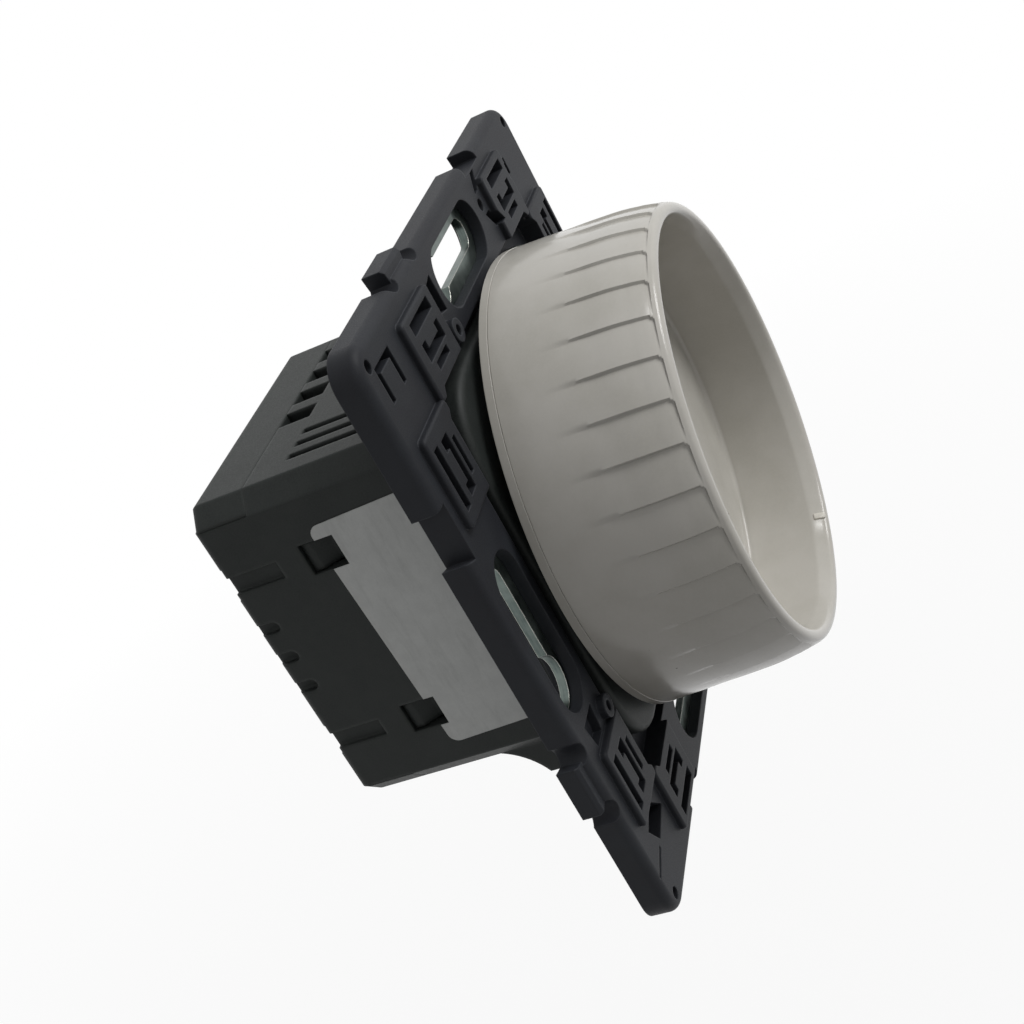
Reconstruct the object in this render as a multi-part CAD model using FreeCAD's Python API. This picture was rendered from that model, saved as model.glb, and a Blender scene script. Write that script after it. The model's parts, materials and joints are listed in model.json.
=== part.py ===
import FreeCAD, Part
import os
from math import cos, pi, radians, sin, sqrt, tan

# Rotary push dimmer for a 60 mm wall box, in millimetres
# X runs to the right and Z up, seen from the room; Y runs into the wall
# The origin is the middle of the support frame's wall face, on the knob's axis

V = FreeCAD.Vector

# Clearances
seat_gap = 0.05
snap_gap = 0.15
turn_gap = 0.05

# Cutters run past a face by cut_over, and fused parts run into each other by join_over
cut_over = 1.0
join_over = 0.1

# Body, whose height sets what lies round it
body_height = 41.5
body_less = 0.8
body_chamfer = 2.3
body_wall = 1.5
body_back = 31.4
seam_back = 24.4
back_wall = 1.6
back_edge = 1.0

# Support frame, 71 mm square round the body: a low plate with raised blocks beside the keyholes
ledge_gap = 0.85
ledge_width = 3.4
border_width = 10.5
frame_thick = 4.0
frame_corner = 3.2
frame_edge = 1.1
border_drop = 0.8
window_corner = 2.5
relief_margin = 1.05
rear_relief = 0.4
block_inset = 2.7
block_end_inset = 11.05
block_length = 10.1
block_corner = 0.6
block_edge = 0.3

# Screw keyholes, with their narrow ends on 60 mm centres
screw_inset = 5.5
pocket_length = 19.4
pocket_width = 7.0
keyhole_width = 3.6
keyhole_entry_r = 3.1
keyhole_entry_at = 6.4
keyhole_far_end = 8.2
steel_thick = 1.0
steel_depth = 1.7
steel_length = 22.0
steel_width = 8.6

# Tabs and notches that join frames side by side at 71 mm
tab_at = 15.4
tab_width = 5.0
tab_reach = 1.2
tab_flare = 0.6
tab_thick = 2.4
tab_edge = 0.4
tab_gap = 0.2
hollow_r = 1.5
hollow_depth = 1.0

# Catches for a trim plate: an outer slot and a stepped inner slot in each block
slot_depth = 2.6
catch_outer_inset = 4.15
catch_outer_length = 6.9
catch_outer_width = 1.35
catch_inner_reach = 3.15
catch_inner_length = 6.3
catch_inner_width = 1.1
catch_step = 0.9
catch_step_length = 1.3
catch_step_depth = 1.5
hood_reach = 1.65
hood_length = 4.2
hood_width = 0.9
hood_depth = 1.2

# Eyelets, pockets and slits of the moulding
eyelet_from_block = 1.45
eyelet_reach = 1.4
eyelet_r = 1.3
eyelet_hole_r = 0.6
eyelet_front = 4.1
end_pocket_gap = 0.35
end_pocket_length = 3.2
end_pocket_inset = 3.2
end_pocket_width = 4.1
end_pocket_slant = 0.7
end_pocket_depth = 1.1
bracket_side_inset = 5.45
bracket_top_inset = 4.8
bracket_width = 4.9
bracket_height = 3.8
bracket_slit = 0.85
bracket_depth = 1.6
dimple_inset = 2.2
dimple_r = 0.7
dimple_depth = 0.7
channel_start = 0.2
channel_slant = 2.6
channel_inset = 3.9
channel_open = 1.7
slit_start_inset = 4.6
slit_end_inset = 0.9
slit_inset = 6.9
slit_slant = 1.0
slit_width = 0.45
slit_depth = 1.0
rib_hole_gap = 1.95
rib_hole_inset = 5.0
rib_hole_r = 0.75
rib_pocket_width = 1.6
rib_pocket_length = 2.1
rib_pocket_gap = 1.3
well_gap = 1.05
well_inset = 5.7
well_width = 3.2
well_height = 2.1

# Front cover of the mechanism
cover_gap = 1.7
cover_corner = 8.0
cover_front = 3.6
cover_thick = 2.0
cover_edge = 0.8

# Guard shoulder under the frame, frame hooks and board ribs on the body
guard_reach = 4.2
guard_front = 0.5
guard_back = 14.5
guard_lip = 9.6
guard_sag = 0.4
hook_width = 6.0
hook_reach = 1.3
hook_depth = 0.9
hook_root = 2.9
rib_reach = 1.6
rib_width = 2.0
rib_depth = 1.6
rib_at = 15.5

# Openings in the body's walls
wide_vent_width = 3.2
wide_vent_length = 4.2
wide_vent_pitch = 5.45
wide_vent_first = -3.2
wide_vent_count = 4
long_vent_width = 1.2
long_vent_length = 9.2
long_vent_pitch = 2.85
long_vent_first = -14.4
long_vent_front = 10.6
long_vent_count = 3
snap_at = 11.3
snap_width = 3.9
snap_length = 4.4
snap_front = 16.7
snap_arm = 1.2
snap_hook = 1.15
snap_ramp = 1.0
channel_width = 2.2
channel_depth = 0.6
step_width = 4.4
step_depth = 0.5

# Knob: a cup with a fluted skirt, on a carrier; its widths add up from the cup's wall outwards
cup_r = 23.36
slope_width = 1.5
slope_drop = 1.6
shoulder_width = 0.5
shoulder_drop = 0.9
crown_width = 1.02
crown_length = 6.2
crown_rise = 0.2
skirt_taper = 0.57
knob_front = 24.1
knob_rear = 5.0
knob_floor = 13.9
floor_thick = 2.0
skirt_wall = 2.0
lip_height = 1.0
round_share = 0.3
flute_count = 36
flute_depth = 0.24
flute_length = 9.4
flute_turn = 4.5
flute_reach = 1.25
flute_steps = ((0, 1, 0), (0.5, 0.85, 0), (1, -0.1, -0.7))
mark_turn = -61.0
mark_width = 0.8
mark_depth = 0.4
mark_inset = 0.35
web_thick = 1.4
carrier_wall = 0.75
carrier_web_r = 7.5
hub_r = 7.0
hub_rear = 6.6
push_travel = 0.8

# Shaft, bushing and potentiometer
shaft_r = 3.0
shaft_front = 11.6
shaft_rear = 7.3
flat_at = 1.55
drive_flat_length = 4.8
hub_spring_thick = 0.7
hub_spring_width = 4.0
hub_spring_length = 4.0
hub_spring_inset = 0.2
bushing_r = 3.5
bushing_reach = 1.9
nut_flats = 10.0
nut_thick = 1.8
nut_round = 1.08
ring_groove_r = 2.5
ring_r = 4.4
ring_thick = 0.4
ring_mouth = 2.8
pot_side = 17.0
pot_corner = 1.0
pot_depth = 7.5
pot_wall = 1.2
pot_room_r = 7.25
rotor_r = 6.9
rotor_front = 1.6
rotor_thick = 1.4
rotor_rim = 1.5
flat_run_out = 0.3
wiper_r = 6.2
wiper_in_r = 4.4
wiper_mouth = 2.4
wafer_thick = 1.2
wafer_from_back = 1.0
wafer_hole_r = 3.6
case_hole_r = 3.4
leg_pitch = 5.0
leg_width = 0.9
leg_thick = 0.4
leg_out = 1.2

# Push switch behind the potentiometer
switch_side = 14.0
switch_depth = 9.0
switch_wall = 1.2
switch_corner = 0.8
plunger_r = 4.4
plunger_head = 1.5
stem_r = 2.0
stem_length = 3.9
spring_r = 3.0
spring_wire = 0.5
spring_turns = 3.5
blade_at = 5.2
blade_width = 2.0
blade_thick = 0.6
blade_length = 7.8

# Circuit board and what is on it
board_thick = 1.6
board_gap = 0.6
lead_r = 0.4
lead_through = 0.8
sink_thick = 1.5
sink_width = 30.0
sink_depth = 14.6
sink_gap = 0.3
transistor_width = 10.0
transistor_thick = 4.4
transistor_depth = 9.0
transistor_tab = 1.3
transistor_tab_depth = 3.6
transistor_at = 7.5
transistor_from_board = 3.2
lead_pitch = 2.54
screw_r = 1.25
screw_head_r = 1.7
screw_head = 1.0
choke_x = 7.0
choke_core_r = 6.0
choke_core_in_r = 3.8
choke_thick = 4.0
choke_wrap = 1.1
choke_mouth = 2.4
choke_lead_at = 4.8
winding_gap = 0.02
film_width = 16.0
film_height = 5.4
film_depth = 10.5
film_gap = 1.15
film_lead_at = 5.33
can_r = 4.0
can_length = 8.8
can_gap = 0.85
can_lead_pitch = 2.5
can_z = -4.4
fuse_r = 1.8
fuse_length = 11.0
fuse_gap = 1.15
fuse_bend = 0.8
fuse_lead_r = 0.35
chip_width = 5.0
chip_height = 4.0
chip_thick = 1.5
chip_x = 6.5
chip_z = -12.5

# Terminals: three wires enter the back
wire_count = 3
wire_pitch = 4.15
wire_first = -3.35
wire_r = 1.6
wire_from_side = 5.4
terminal_depth = 8.4
terminal_width = 7.4
terminal_margin = 2.6
boss_margin = 2.3
boss_inset = 0.2
wire_depth = 6.4
clamp_from_wire = 0.25
clamp_short = 1.5
slot_overlap = 0.2
clamp_thick = 0.5
clamp_width = 2.0
clamp_spring_thick = 0.35
notch_width = 1.5
notch_depth = 0.85
notch_length = 2.9

# Rating label, left bare
label_length = 30.8
label_front = 5.6
label_back = 18.3
label_corner = 1.2
label_thick = 0.1
label_shift = -0.3
label_skew = -2.4

# Worked out from the sizes above
half_h = body_height / 2
half_w = half_h - body_less / 2
ledge_half = half_h + ledge_gap
window_half = ledge_half + ledge_width
frame_half = window_half + border_width
relief_half = half_h + guard_reach + relief_margin
block_out = frame_half - block_inset
block_to = frame_half - block_end_inset
block_from = block_to - block_length
screw_centre = frame_half - screw_inset
catch_at = block_to - block_length / 2
catch_outer = frame_half - catch_outer_inset
catch_inner = window_half + catch_inner_reach
hood_out = window_half + hood_reach
eyelet_along = block_from - eyelet_from_block
eyelet_out = window_half + eyelet_reach
end_pocket_to = block_from - end_pocket_gap
end_pocket_outer = frame_half - end_pocket_inset
bracket_x = bracket_side_inset - frame_half
bracket_z = frame_half - bracket_top_inset
rib_hole_along = block_from - rib_hole_gap
rib_hole_out = frame_half - rib_hole_inset
well_x = block_to + well_gap
well_z = frame_half - well_inset
cover_half = window_half - cover_gap
inner_w = half_w - body_wall
inner_h = half_h - body_wall
tongue_half = half_h - body_chamfer
cover_back = cover_thick - cover_front
ledge_front = cover_back + seat_gap
back_inner = body_back - back_wall
crest_r = cup_r + slope_width
shoulder_r = crest_r + shoulder_width
shoulder_y = -knob_front + shoulder_drop
crown_r = shoulder_r + crown_width
crown_y = shoulder_y + crown_length
knob_r = crown_r + skirt_taper
skirt_in_r = knob_r - skirt_wall
low_front = -frame_thick + border_drop
pot_back = cover_back + pot_depth
pot_front_wall = cover_back + pot_wall
wafer_back = pot_back - wafer_from_back
wafer_front = wafer_back - wafer_thick
rotor_back = rotor_front + rotor_thick
ring_front = pot_front_wall + 2 * seat_gap
switch_back = pot_back + switch_depth
switch_room = switch_side / 2 - switch_wall
plunger_front = shaft_rear + seat_gap
plunger_back = plunger_front + plunger_head
film_out = inner_h - film_gap - film_height / 2
can_x = inner_w - can_gap - can_r
fuse_x = fuse_gap + fuse_r - inner_w
board_front = switch_back
board_back = board_front + board_thick
leads_back = board_back + lead_through
wire_x = -half_w + wire_from_side
wires = [wire_first + k * wire_pitch for k in range(wire_count)]
sink_out = inner_h - sink_gap
sink_in = sink_out - sink_thick
transistor_out = sink_in - seat_gap
transistor_back = board_front - transistor_from_board
transistor_front = transistor_back - transistor_depth
transistor_lead_z = transistor_out - transistor_thick / 2
screw_y = transistor_front - transistor_tab_depth / 2
fuse_lead_z = fuse_length / 2 + fuse_bend
choke_front = board_back + seat_gap
terminal_back = back_inner - seat_gap
clamp_x = wire_x + wire_r + clamp_from_wire + clamp_thick / 2 + clamp_spring_thick
clamp_floor = terminal_back - wire_depth
boss_back = body_back - boss_inset
steel_front = -steel_depth
steel_back = steel_front + steel_thick


# Shape helpers

def block(x0, x1, y0, y1, z0, z1):
    return Part.makeBox(x1 - x0, y1 - y0, z1 - z0, V(x0, y0, z0))


def block_at(x, z, width, height, y0, y1):
    return block(x - width / 2, x + width / 2, y0, y1, z - height / 2, z + height / 2)


def rod(r, y0, y1, x=0.0, z=0.0):
    return Part.makeCylinder(r, y1 - y0, V(x, y0, z), V(0, 1, 0))


def tube(r_out, r_in, y0, y1, x=0.0, z=0.0):
    return rod(r_out, y0, y1, x, z).cut(rod(r_in, y0 - cut_over, y1 + cut_over, x, z))


def prism(points, y0, y1):
    loop = [V(x, y0, z) for x, z in points]
    face = Part.Face(Part.makePolygon(loop + [loop[0]]))
    return face.extrude(V(0, y1 - y0, 0))


def prism_up(points, z0, z1):
    loop = [V(x, y, z0) for x, y in points]
    face = Part.Face(Part.makePolygon(loop + [loop[0]]))
    return face.extrude(V(0, 0, z1 - z0))


def rounded(half_x, half_z, r, y0, y1):
    body = block(-half_x, half_x, y0, y1, -half_z, half_z)
    uprights = [e for e in body.Edges if e.BoundBox.YLength > (y1 - y0) * 0.99]
    return body.makeFillet(r, uprights)


def chamfered(half_x, half_z, c, y0, y1):
    points = [
        (-half_x + c, -half_z), (half_x - c, -half_z), (half_x, -half_z + c), (half_x, half_z - c),
        (half_x - c, half_z), (-half_x + c, half_z), (-half_x, half_z - c), (-half_x, -half_z + c),
    ]
    return prism(points, y0, y1)


def stadium(length, width, y0, y1, x=0.0, z=0.0):
    r = width / 2
    run = length / 2 - r
    middle = block(x - run, x + run, y0, y1, z - r, z + r)
    return middle.fuse([rod(r, y0, y1, x - run, z), rod(r, y0, y1, x + run, z)]).removeSplitter()


def turned(shape, degrees):
    copy = shape.copy()
    copy.rotate(V(0, 0, 0), V(0, 1, 0), degrees)
    return copy


# What is drawn for the top side is turned to the left, bottom and right sides too

def on_sides(shape):
    return [turned(shape, -90 * k) for k in range(4)]


def edges_at(shape, y):
    return [e for e in shape.Edges if abs(e.BoundBox.YMin - y) < 1e-6 and abs(e.BoundBox.YMax - y) < 1e-6]


# Support frame

def raised_block(side):
    # The block's edges are rounded, also where it stands on the low plate's window edge
    z0 = window_half - cut_over
    half_x = block_length / 2
    half_z = (block_out - z0) / 2
    shape = rounded(half_x, half_z, block_corner, -frame_thick, low_front + block_edge)
    shape = shape.makeFillet(block_edge, edges_at(shape, -frame_thick))
    shape.translate(V(side * catch_at, 0, z0 + half_z))
    return shape


def tab():
    z0 = frame_half - tab_reach
    z1 = frame_half + tab_reach
    root = tab_width / 2
    tip = root + tab_flare
    points = [(-tab_at - root, z0), (-tab_at + root, z0), (-tab_at + tip, z1), (-tab_at - tip, z1)]
    shape = prism(points, -tab_thick, 0)
    outer = [e for e in edges_at(shape, -tab_thick) if e.BoundBox.ZMin > frame_half]
    return shape.makeChamfer(tab_edge, outer)


def notch():
    z0 = frame_half - tab_reach - tab_gap
    z1 = frame_half + cut_over
    root = tab_width / 2 + tab_gap
    tip = root + tab_flare
    points = [(tab_at - root, z1), (tab_at - tip, z0), (tab_at + tip, z0), (tab_at + root, z1)]
    return prism(points, -frame_thick - cut_over, cut_over)


def tab_hollows():
    # A round hollow on each side of the tab
    beside = tab_width / 2 + tab_flare + hollow_r / 2
    z = frame_half + hollow_r - hollow_depth
    front = -frame_thick - cut_over
    return [rod(hollow_r, front, cut_over, -tab_at + side * beside, z) for side in (-1, 1)]


def keyhole_pocket():
    # A pocket right through, and the room in which the wider steel plate is moulded
    pocket = stadium(pocket_length, pocket_width, -frame_thick - cut_over, cut_over, 0, screw_centre)
    y0 = steel_front - seat_gap / 2
    y1 = steel_back + seat_gap / 2
    return pocket.fuse(stadium(steel_length, steel_width, y0, y1, 0, screw_centre))


def catch_cuts(side):
    front = -frame_thick - cut_over
    deep = -frame_thick + slot_depth
    shallow = -frame_thick + catch_step_depth
    x = side * catch_at
    outer = block_at(x, catch_outer, catch_outer_length, catch_outer_width, front, deep)
    inner = block_at(x, catch_inner, catch_inner_length, catch_inner_width, front, deep)
    hood = block_at(x, hood_out, hood_length, hood_width, front, -frame_thick + hood_depth)
    step_x = (catch_inner_length - catch_step_length) / 2
    step_z = catch_inner + catch_inner_width / 2
    steps = [block_at(x + end * step_x, step_z, catch_step_length, 2 * catch_step, front, shallow)
             for end in (-1, 1)]
    return [outer, inner, hood] + steps


def end_pocket():
    # A slanting pocket between the keyhole and the block
    x1 = -end_pocket_to
    x0 = x1 + end_pocket_length
    z0 = end_pocket_outer - end_pocket_width
    slant = end_pocket_slant
    points = [(x0, z0), (x0, end_pocket_outer), (x1, end_pocket_outer - slant), (x1, z0 + slant)]
    return prism(points, -frame_thick - cut_over, low_front + end_pocket_depth)


def bracket_slit_cut():
    # A slit round three sides of a small tongue in the corner that lies at the vents and the label
    y0 = low_front - cut_over
    y1 = low_front + bracket_depth
    outer = block_at(bracket_x, bracket_z, bracket_width, bracket_height, y0, y1)
    tongue = block_at(bracket_x, bracket_z - bracket_slit, bracket_width - 2 * bracket_slit, bracket_height,
                      y0 - cut_over, y1 + cut_over)
    return outer.cut(tongue)


def channel_cut():
    # A deep slanting channel between the block and the tip of the lower corner
    x0 = -window_half - channel_start
    x1 = channel_inset - frame_half
    z1 = x0 - channel_open / 2
    points = [(x0, x0 - channel_slant), (x0 - channel_slant, x0), (x1, z1),
              (x1 + channel_open, z1 - channel_slant)]
    return prism(points, -frame_thick - cut_over, -frame_thick + slot_depth)


def corner_slit_cut():
    # A fine slit runs on from the channel towards the corner
    x0 = slit_start_inset - frame_half
    x1 = slit_end_inset - frame_half
    z0 = slit_inset - frame_half
    z1 = z0 - slit_slant
    points = [(x0, z0), (x1, z1), (x1, z1 - slit_width), (x0, z0 - slit_width)]
    return prism(points, -frame_thick - cut_over, low_front + slit_depth)


def rib_cuts():
    # Two slanting pockets leave crossed ribs round a small hole in the upper corner
    y0 = -frame_thick - cut_over
    deep = -frame_thick + slot_depth
    cuts = [rod(rib_hole_r, y0, cut_over, rib_hole_along, rib_hole_out)]
    for side in (-1, 1):
        z0 = rib_hole_out + side * rib_pocket_gap
        z1 = z0 + side * rib_pocket_length
        points = [(rib_hole_along, z0), (rib_hole_along + rib_pocket_width, z0),
                  (rib_hole_along + 2 * rib_pocket_width, z1), (rib_hole_along + rib_pocket_width, z1)]
        cuts.append(prism(points, y0, deep))
    cuts.append(block_at(well_x, well_z, well_width, well_height, y0, deep))
    return cuts


def support_frame():
    front = -frame_thick
    body = rounded(frame_half, frame_half, frame_corner, low_front, 0)
    body = body.makeFillet(frame_edge, edges_at(body, low_front))
    added = []
    for shape in (raised_block(-1), raised_block(1), tab()):
        added.extend(on_sides(shape))
    cuts = [chamfered(window_half, window_half, window_corner, front - cut_over, ledge_front)]
    cuts.append(chamfered(ledge_half, ledge_half, body_chamfer, ledge_front - cut_over, cut_over))
    cuts.append(block(-relief_half, relief_half, -rear_relief, cut_over, -relief_half, relief_half))
    dimple = frame_half - dimple_inset
    side_cuts = [notch(), keyhole_pocket(), end_pocket()] + catch_cuts(-1) + catch_cuts(1)
    side_cuts.append(rod(dimple_r, front - cut_over, low_front + dimple_depth, -dimple, dimple))
    for shape in side_cuts:
        cuts.extend(on_sides(shape))
    cuts += [bracket_slit_cut(), channel_cut(), corner_slit_cut()] + rib_cuts()
    hollows = []
    for shape in tab_hollows():
        hollows.extend(on_sides(shape))
    body = body.cut(hollows).fuse(added).cut(cuts)
    ring = rod(eyelet_r, -eyelet_front, low_front + cut_over, -eyelet_along, eyelet_out)
    body = body.fuse(on_sides(ring))
    hole = rod(eyelet_hole_r, front - cut_over, cut_over, -eyelet_along, eyelet_out)
    return body.cut(on_sides(hole)).removeSplitter()


# Steel keyhole plates

def fixing_plate():
    length = steel_length - 2 * seat_gap
    plate = stadium(length, steel_width - 2 * seat_gap, steel_front, steel_back, 0, screw_centre)
    r = keyhole_width / 2
    far = keyhole_far_end - r
    y0 = steel_front - cut_over
    y1 = steel_back + cut_over
    slot = block(-keyhole_entry_at, far, y0, y1, screw_centre - r, screw_centre + r)
    entry = rod(keyhole_entry_r, y0, y1, -keyhole_entry_at, screw_centre)
    return plate.cut([slot, rod(r, y0, y1, far, screw_centre), entry])


# Front cover

def front_cover():
    plate = rounded(cover_half, cover_half, cover_corner, -cover_front, cover_back)
    plate = plate.makeFillet(cover_edge, edges_at(plate, -cover_front))
    return plate.cut(rod(bushing_r + seat_gap, -cover_front - cut_over, cover_back + cut_over))


# Housing with vents, snap windows and a tongue down the terminal side

def guard_shoulder():
    z0 = -half_h
    low = z0 - guard_reach
    corner = V(0, guard_front + guard_lip, low)
    end = V(0, guard_back, z0)
    middle = (corner + end) * 0.5 + V(0, -guard_sag, guard_sag)
    foot = V(0, guard_front, low)
    root = V(0, guard_front, z0)
    wire = Part.Wire([Part.makeLine(foot, corner), Part.Arc(corner, middle, end).toShape(),
                      Part.makeLine(end, root), Part.makeLine(root, foot)])
    half = half_w - body_chamfer
    shoulder = Part.Face(wire).extrude(V(2 * half, 0, 0))
    shoulder.translate(V(-half, 0, 0))
    return shoulder


def frame_hooks():
    # Wedges behind the frame's ledge hold the frame against the front cover
    hooks = []
    half = hook_width / 2
    y = -rear_relief + snap_gap
    for side in (-1, 1):
        x0 = side * (half_w - join_over)
        x1 = side * (ledge_half + hook_reach)
        points = [(x0, y), (x1, y), (x1, y + hook_depth), (x0, y + hook_root)]
        hooks.append(prism_up(points, -half, half))
    return hooks


def board_ribs():
    # The board lies on four ribs inside the side walls
    width = rib_reach + join_over
    x = inner_w + join_over - width / 2
    return [block_at(side * x, z, width, rib_width, board_front - rib_depth, board_front)
            for side in (-1, 1) for z in (-rib_at, rib_at)]


def vent_cuts():
    depth = 2 * (body_wall + cut_over)
    cuts = []
    wide_front = seam_back - wide_vent_length
    long_back = long_vent_front + long_vent_length
    for k in range(wide_vent_count):
        x = wide_vent_first + k * wide_vent_pitch
        cuts.append(block_at(x, half_h, wide_vent_width, depth, wide_front, seam_back + cut_over))
    for k in range(long_vent_count):
        x = long_vent_first + k * long_vent_pitch
        cuts.append(block_at(x, half_h, long_vent_width, depth, long_vent_front, long_back))
    return cuts


def label_side_cuts():
    # Snap windows with a channel and a step behind each, and a release notch behind each wire
    depth = 2 * (body_wall + cut_over)
    end = body_back + cut_over
    cuts = [release_notch(z) for z in wires]
    for z in (-snap_at, snap_at):
        cuts.append(block_at(-half_w, z, depth, snap_width, snap_front, snap_front + snap_length))
        cuts.append(block_at(-half_w, z, 2 * channel_depth, channel_width, seam_back, end))
        cuts.append(block_at(-half_w, z, depth, step_width, body_back - step_depth, end))
    return cuts


def housing():
    shell = chamfered(half_w, half_h, body_chamfer, cover_back, seam_back)
    shell = shell.cut(chamfered(inner_w, inner_h, body_chamfer, cover_back - cut_over, seam_back + cut_over))
    tongue = block(-half_w, -inner_w, seam_back - cut_over, body_back, -tongue_half, tongue_half)
    rear = [e for e in edges_at(tongue, body_back) if e.BoundBox.XMax < -(half_w + inner_w) / 2]
    tongue = tongue.makeFillet(back_edge, rear)
    shell = shell.fuse([tongue, guard_shoulder()] + frame_hooks() + board_ribs())
    return shell.cut(vent_cuts() + label_side_cuts()).removeSplitter()


def release_notch(z):
    r = notch_width / 2
    y0 = body_back - notch_length + r
    run = block_at(-half_w, z, 2 * notch_depth, notch_width, y0, body_back + cut_over)
    end = Part.makeCylinder(r, 2 * notch_depth, V(-half_w - notch_depth, y0, z), V(1, 0, 0))
    return run.fuse(end)


# Rear cover, whose hooks spring into the housing's windows

def snap_arms():
    arms = []
    x0 = -inner_w + snap_gap
    root = x0 + join_over
    tip = x0 - snap_hook
    half = snap_width / 2 - snap_gap
    y0 = snap_front + snap_gap
    y1 = snap_front + snap_length - snap_gap
    for z in (-snap_at, snap_at):
        arm = block(x0, x0 + snap_arm, y0, back_inner + join_over, z - half, z + half)
        points = [(root, y0 + snap_ramp), (tip, y1 - snap_ramp), (tip, y1), (root, y1)]
        arms.append(arm.fuse(prism_up(points, z - half, z + half)))
    return arms


def boss(margin, y0, y1):
    return block(wire_x - margin, wire_x + margin, y0, y1, wires[0] - margin, wires[-1] + margin)


def rear_cover():
    tub = chamfered(half_w, half_h, body_chamfer, seam_back, body_back)
    tub = tub.makeFillet(back_edge, edges_at(tub, body_back))
    y0 = seam_back - cut_over
    y1 = body_back + cut_over
    tub = tub.cut(chamfered(inner_w, inner_h, body_chamfer, y0, back_inner))
    half = tongue_half + seat_gap
    tub = tub.cut(block(-half_w - cut_over, -inner_w + seat_gap, y0, y1, -half, half))
    tub = tub.fuse(snap_arms())
    return tub.cut(boss(boss_margin + snap_gap, back_inner - cut_over, y1)).removeSplitter()


def rating_label():
    plate = rounded((label_back - label_front) / 2, label_length / 2, label_corner, -label_thick, 0)
    plate.rotate(V(0, 0, 0), V(0, 0, 1), -90)
    plate.rotate(V(0, 0, 0), V(1, 0, 0), label_skew)
    plate.translate(V(-half_w, (label_front + label_back) / 2, label_shift))
    cuts = [block_at(-half_w, z, cut_over, snap_width, snap_front, body_back) for z in (-snap_at, snap_at)]
    return plate.cut(cuts)


# Knob

def skirt_radius(y):
    # Straight up to the crown, then along the crown's arc
    if y > crown_y:
        return crown_r + skirt_taper * (y - crown_y) / (-knob_rear - crown_y)
    share = (crown_y - y) / crown_length
    return crown_r - crown_width * share + 4 * crown_rise * share * (1 - share)


def whole_cap():
    rear = -knob_rear - lip_height
    shoulder = V(shoulder_r, shoulder_y, 0)
    crown = V(crown_r, crown_y, 0)
    crown_middle = V(skirt_radius((crown_y + shoulder_y) / 2), (crown_y + shoulder_y) / 2, 0)
    crest = V(crest_r, -knob_front, 0)
    bulge = V(shoulder_r - round_share * shoulder_width, -knob_front + round_share * shoulder_drop, 0)
    lip = V(cup_r, -knob_front + slope_drop, 0)
    under = -knob_floor + floor_thick
    start = V(skirt_radius(rear), rear, 0)
    points = [lip, V(cup_r, -knob_floor, 0), V(0, -knob_floor, 0), V(0, under, 0), V(skirt_in_r, under, 0),
              V(skirt_in_r, rear, 0), start]
    edges = [Part.makeLine(start, crown), Part.Arc(crown, crown_middle, shoulder).toShape(),
             Part.Arc(shoulder, bulge, crest).toShape(), Part.makeLine(crest, lip)]
    edges += [Part.makeLine(a, b) for a, b in zip(points, points[1:])]
    return Part.Face(Part.Wire(edges)).revolve(V(0, 0, 0), V(0, 1, 0), 360)


def on_skirt(angle, r, y):
    return V(cos(angle) * r, y, sin(angle) * r)


def chord_radius(r0, r1, turn, reach):
    # Radius at the angle reach of the straight line from r0 at the angle zero through r1 at the angle turn
    share = tan(reach) * r0 / (r1 * sin(turn) - tan(reach) * (r1 * cos(turn) - r0))
    return share * r1 * sin(turn) / sin(reach)


def flute_tool(a0):
    # A shallow step: deepest at its first edge, flush at the next flute, and gone at its rear end
    turn = 2 * pi / flute_count
    reach = turn * flute_reach
    loops = []
    for angle, at_end in ((a0, False), (a0 + reach, True)):
        inner = []
        outer = []
        for share, first, last in flute_steps:
            y = shoulder_y + share * flute_length
            deep = skirt_radius(y) - first * flute_depth
            flush = skirt_radius(y) - last * flute_depth
            r = chord_radius(deep, flush, turn, reach) if at_end else deep
            inner.append(on_skirt(angle, r, y))
            outer.append(on_skirt(angle, r + cut_over, y))
        ring = inner + outer[::-1]
        loops.append(Part.makePolygon(ring + ring[:1]))
    return Part.makeLoft(loops, True, True)


def dial_cap():
    tools = [flute_tool(radians(flute_turn) + k * 2 * pi / flute_count) for k in range(flute_count)]
    return whole_cap().cut(tools + [mark_bar(0)])


def mark_bar(gap):
    # A shallow groove down the rim's inner slope shows where the knob points
    half = mark_width / 2 - gap
    x0 = cup_r - cut_over
    x1 = crest_r - mark_inset - gap
    front = -knob_front - cut_over
    deep = mark_depth - gap
    low = -knob_front + slope_drop + deep
    high = -knob_front + slope_drop * mark_inset / slope_width + deep
    points = [(x0, front), (x1, front), (x1, high), (cup_r, low), (x0, low)]
    return turned(prism_up(points, -half, half), -mark_turn)


def dial_mark():
    # The mark fills its groove, level with the rim
    return whole_cap().common(mark_bar(seat_gap))


def dial_carrier():
    # The rear lip shows under the skirt; the web and hub carry the cap on the shaft
    rear = -knob_rear
    lip_front = rear - lip_height
    web_front = lip_front - web_thick
    ring_r = skirt_in_r - seat_gap
    lip = tube(knob_r, ring_r - carrier_wall, lip_front + seat_gap, rear)
    ring = tube(ring_r, ring_r - carrier_wall, lip_front, rear)
    web = tube(ring_r, carrier_web_r, web_front, lip_front + seat_gap)
    hub = tube(hub_r, shaft_r + seat_gap, -knob_floor + floor_thick + seat_gap, -hub_rear)
    collar = tube(carrier_web_r + join_over, hub_r - join_over, web_front, -hub_rear)
    return lip.fuse([web, ring, hub, collar]).removeSplitter()


def d_shaft(r, y0, y1, flat):
    wide = r + cut_over
    return rod(r, y0, y1).cut(block(flat, wide, y0 - cut_over, y1 + cut_over, -wide, wide))


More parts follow.
